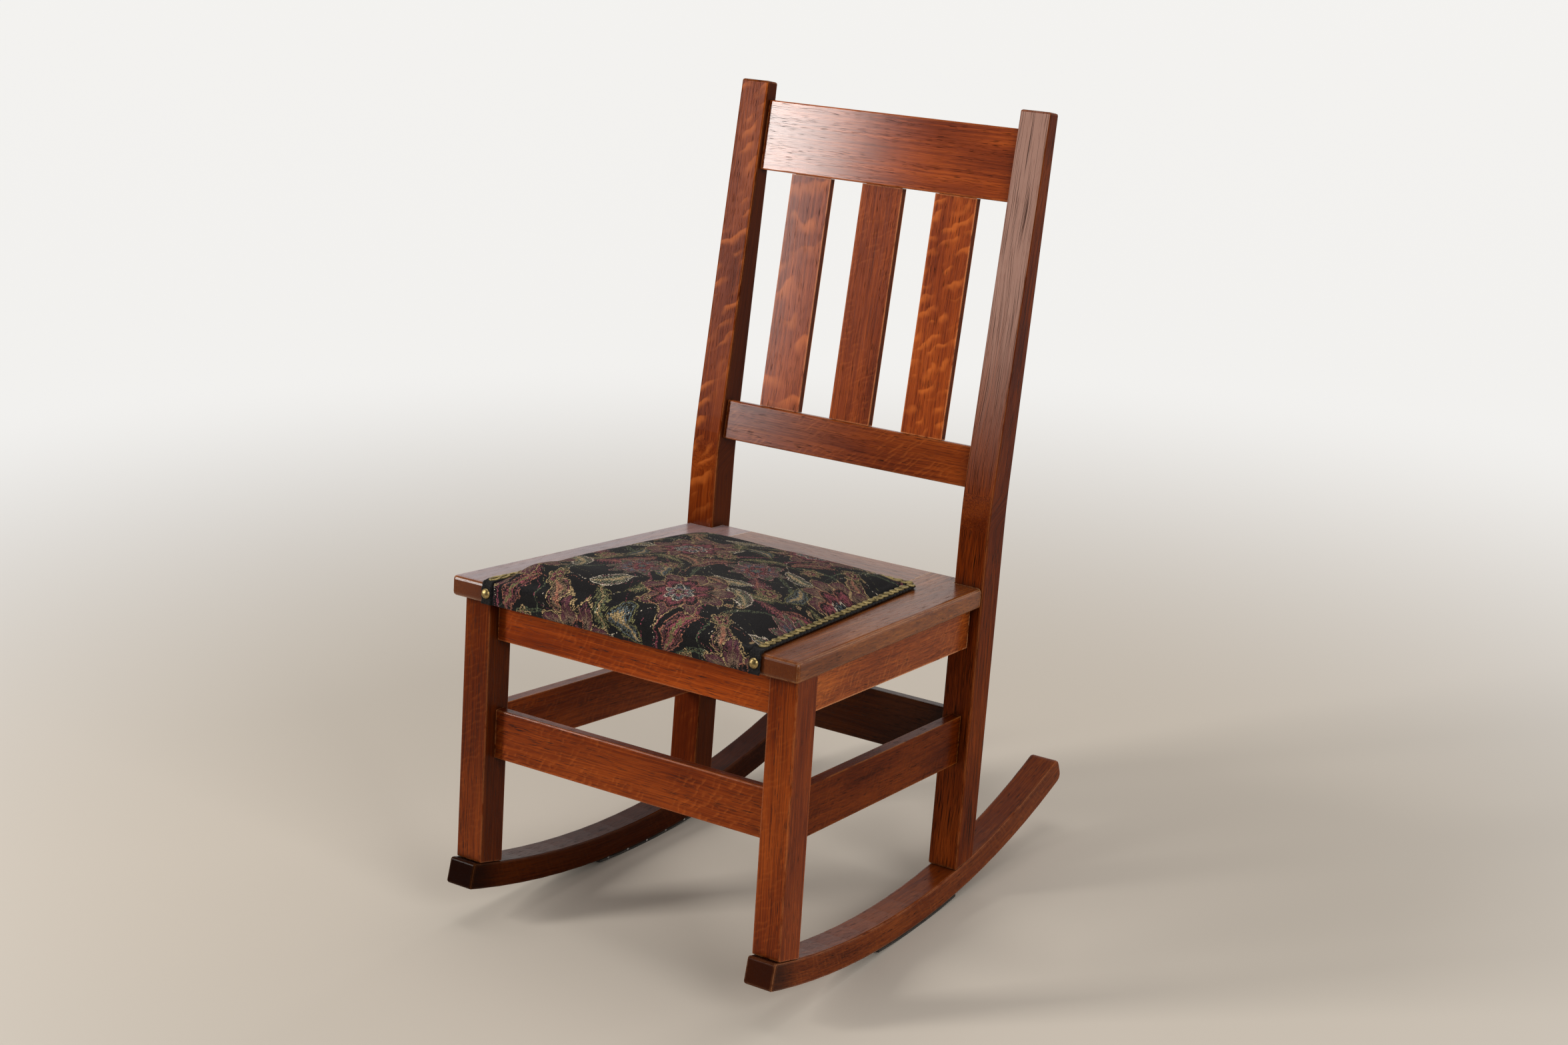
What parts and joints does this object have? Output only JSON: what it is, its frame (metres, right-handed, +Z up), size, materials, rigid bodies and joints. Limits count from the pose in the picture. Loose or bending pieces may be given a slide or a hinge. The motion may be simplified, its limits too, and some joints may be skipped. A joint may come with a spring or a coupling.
{
  "type": "rocking chair",
  "caption": "Armless sewing rocking chair in dark fumed oak, with a slatted back, bent rockers and a black floral seat edged with gold and black gimp.",
  "frame": {"origin": "on the floor, under the middle of the chair's overall width and depth, at the undersides of the strips that the rockers stand on", "axes": "+X to the sitter's left, -Y the way the chair faces, +Z up; the chair stands at its own balance"},
  "size_m": [0.4166, 0.588, 0.8075],
  "materials": {
    "oak": "satin",
    "inner_wood": "matte",
    "tapestry": "matte",
    "braid": "matte",
    "cotton": "matte",
    "jute": "matte",
    "brass": "gloss",
    "steel": "satin",
    "strip": "matte"
  },
  "bodies": {
    "root": {"back_post_left": "oak", "back_post_right": "oak", "brass_nail_left": "brass", "brass_nail_right": "brass", "corner_block_front_left": "inner_wood", "corner_block_front_right": "inner_wood", "corner_block_rear_left": "inner_wood", "corner_block_rear_right": "inner_wood", "crest_rail": "oak", "front_apron": "oak", "front_leg_left": "oak", "front_leg_right": "oak", "front_stretcher": "oak", "gimp_left": "braid", "gimp_rear": "braid", "gimp_right": "braid", "leg_dowel_left": "inner_wood", "leg_dowel_right": "inner_wood", "lower_back_rail": "oak", "post_dowel_left": "inner_wood", "post_dowel_right": "inner_wood", "rear_apron": "oak", "rear_stretcher": "oak", "rocker_left": "oak", "rocker_right": "oak", "rocker_strip_left": "strip", "rocker_strip_right": "strip", "seat_board_front": "oak", "seat_board_left": "oak", "seat_board_rear": "oak", "seat_board_right": "oak", "seat_cover": "tapestry", "seat_padding": "cotton", "seat_screw_front_left": "steel", "seat_screw_front_right": "steel", "seat_screw_rear_left": "steel", "seat_screw_rear_right": "steel", "side_apron_left": "oak", "side_apron_right": "oak", "side_stretcher_left": "oak", "side_stretcher_right": "oak", "slat_1": "oak", "slat_2": "oak", "slat_3": "oak", "strap_across_1": "jute", "strap_across_2": "jute", "strap_across_3": "jute", "strap_long_1": "jute", "strap_long_2": "jute", "strap_long_3": "jute"}
  },
  "joints": []
}
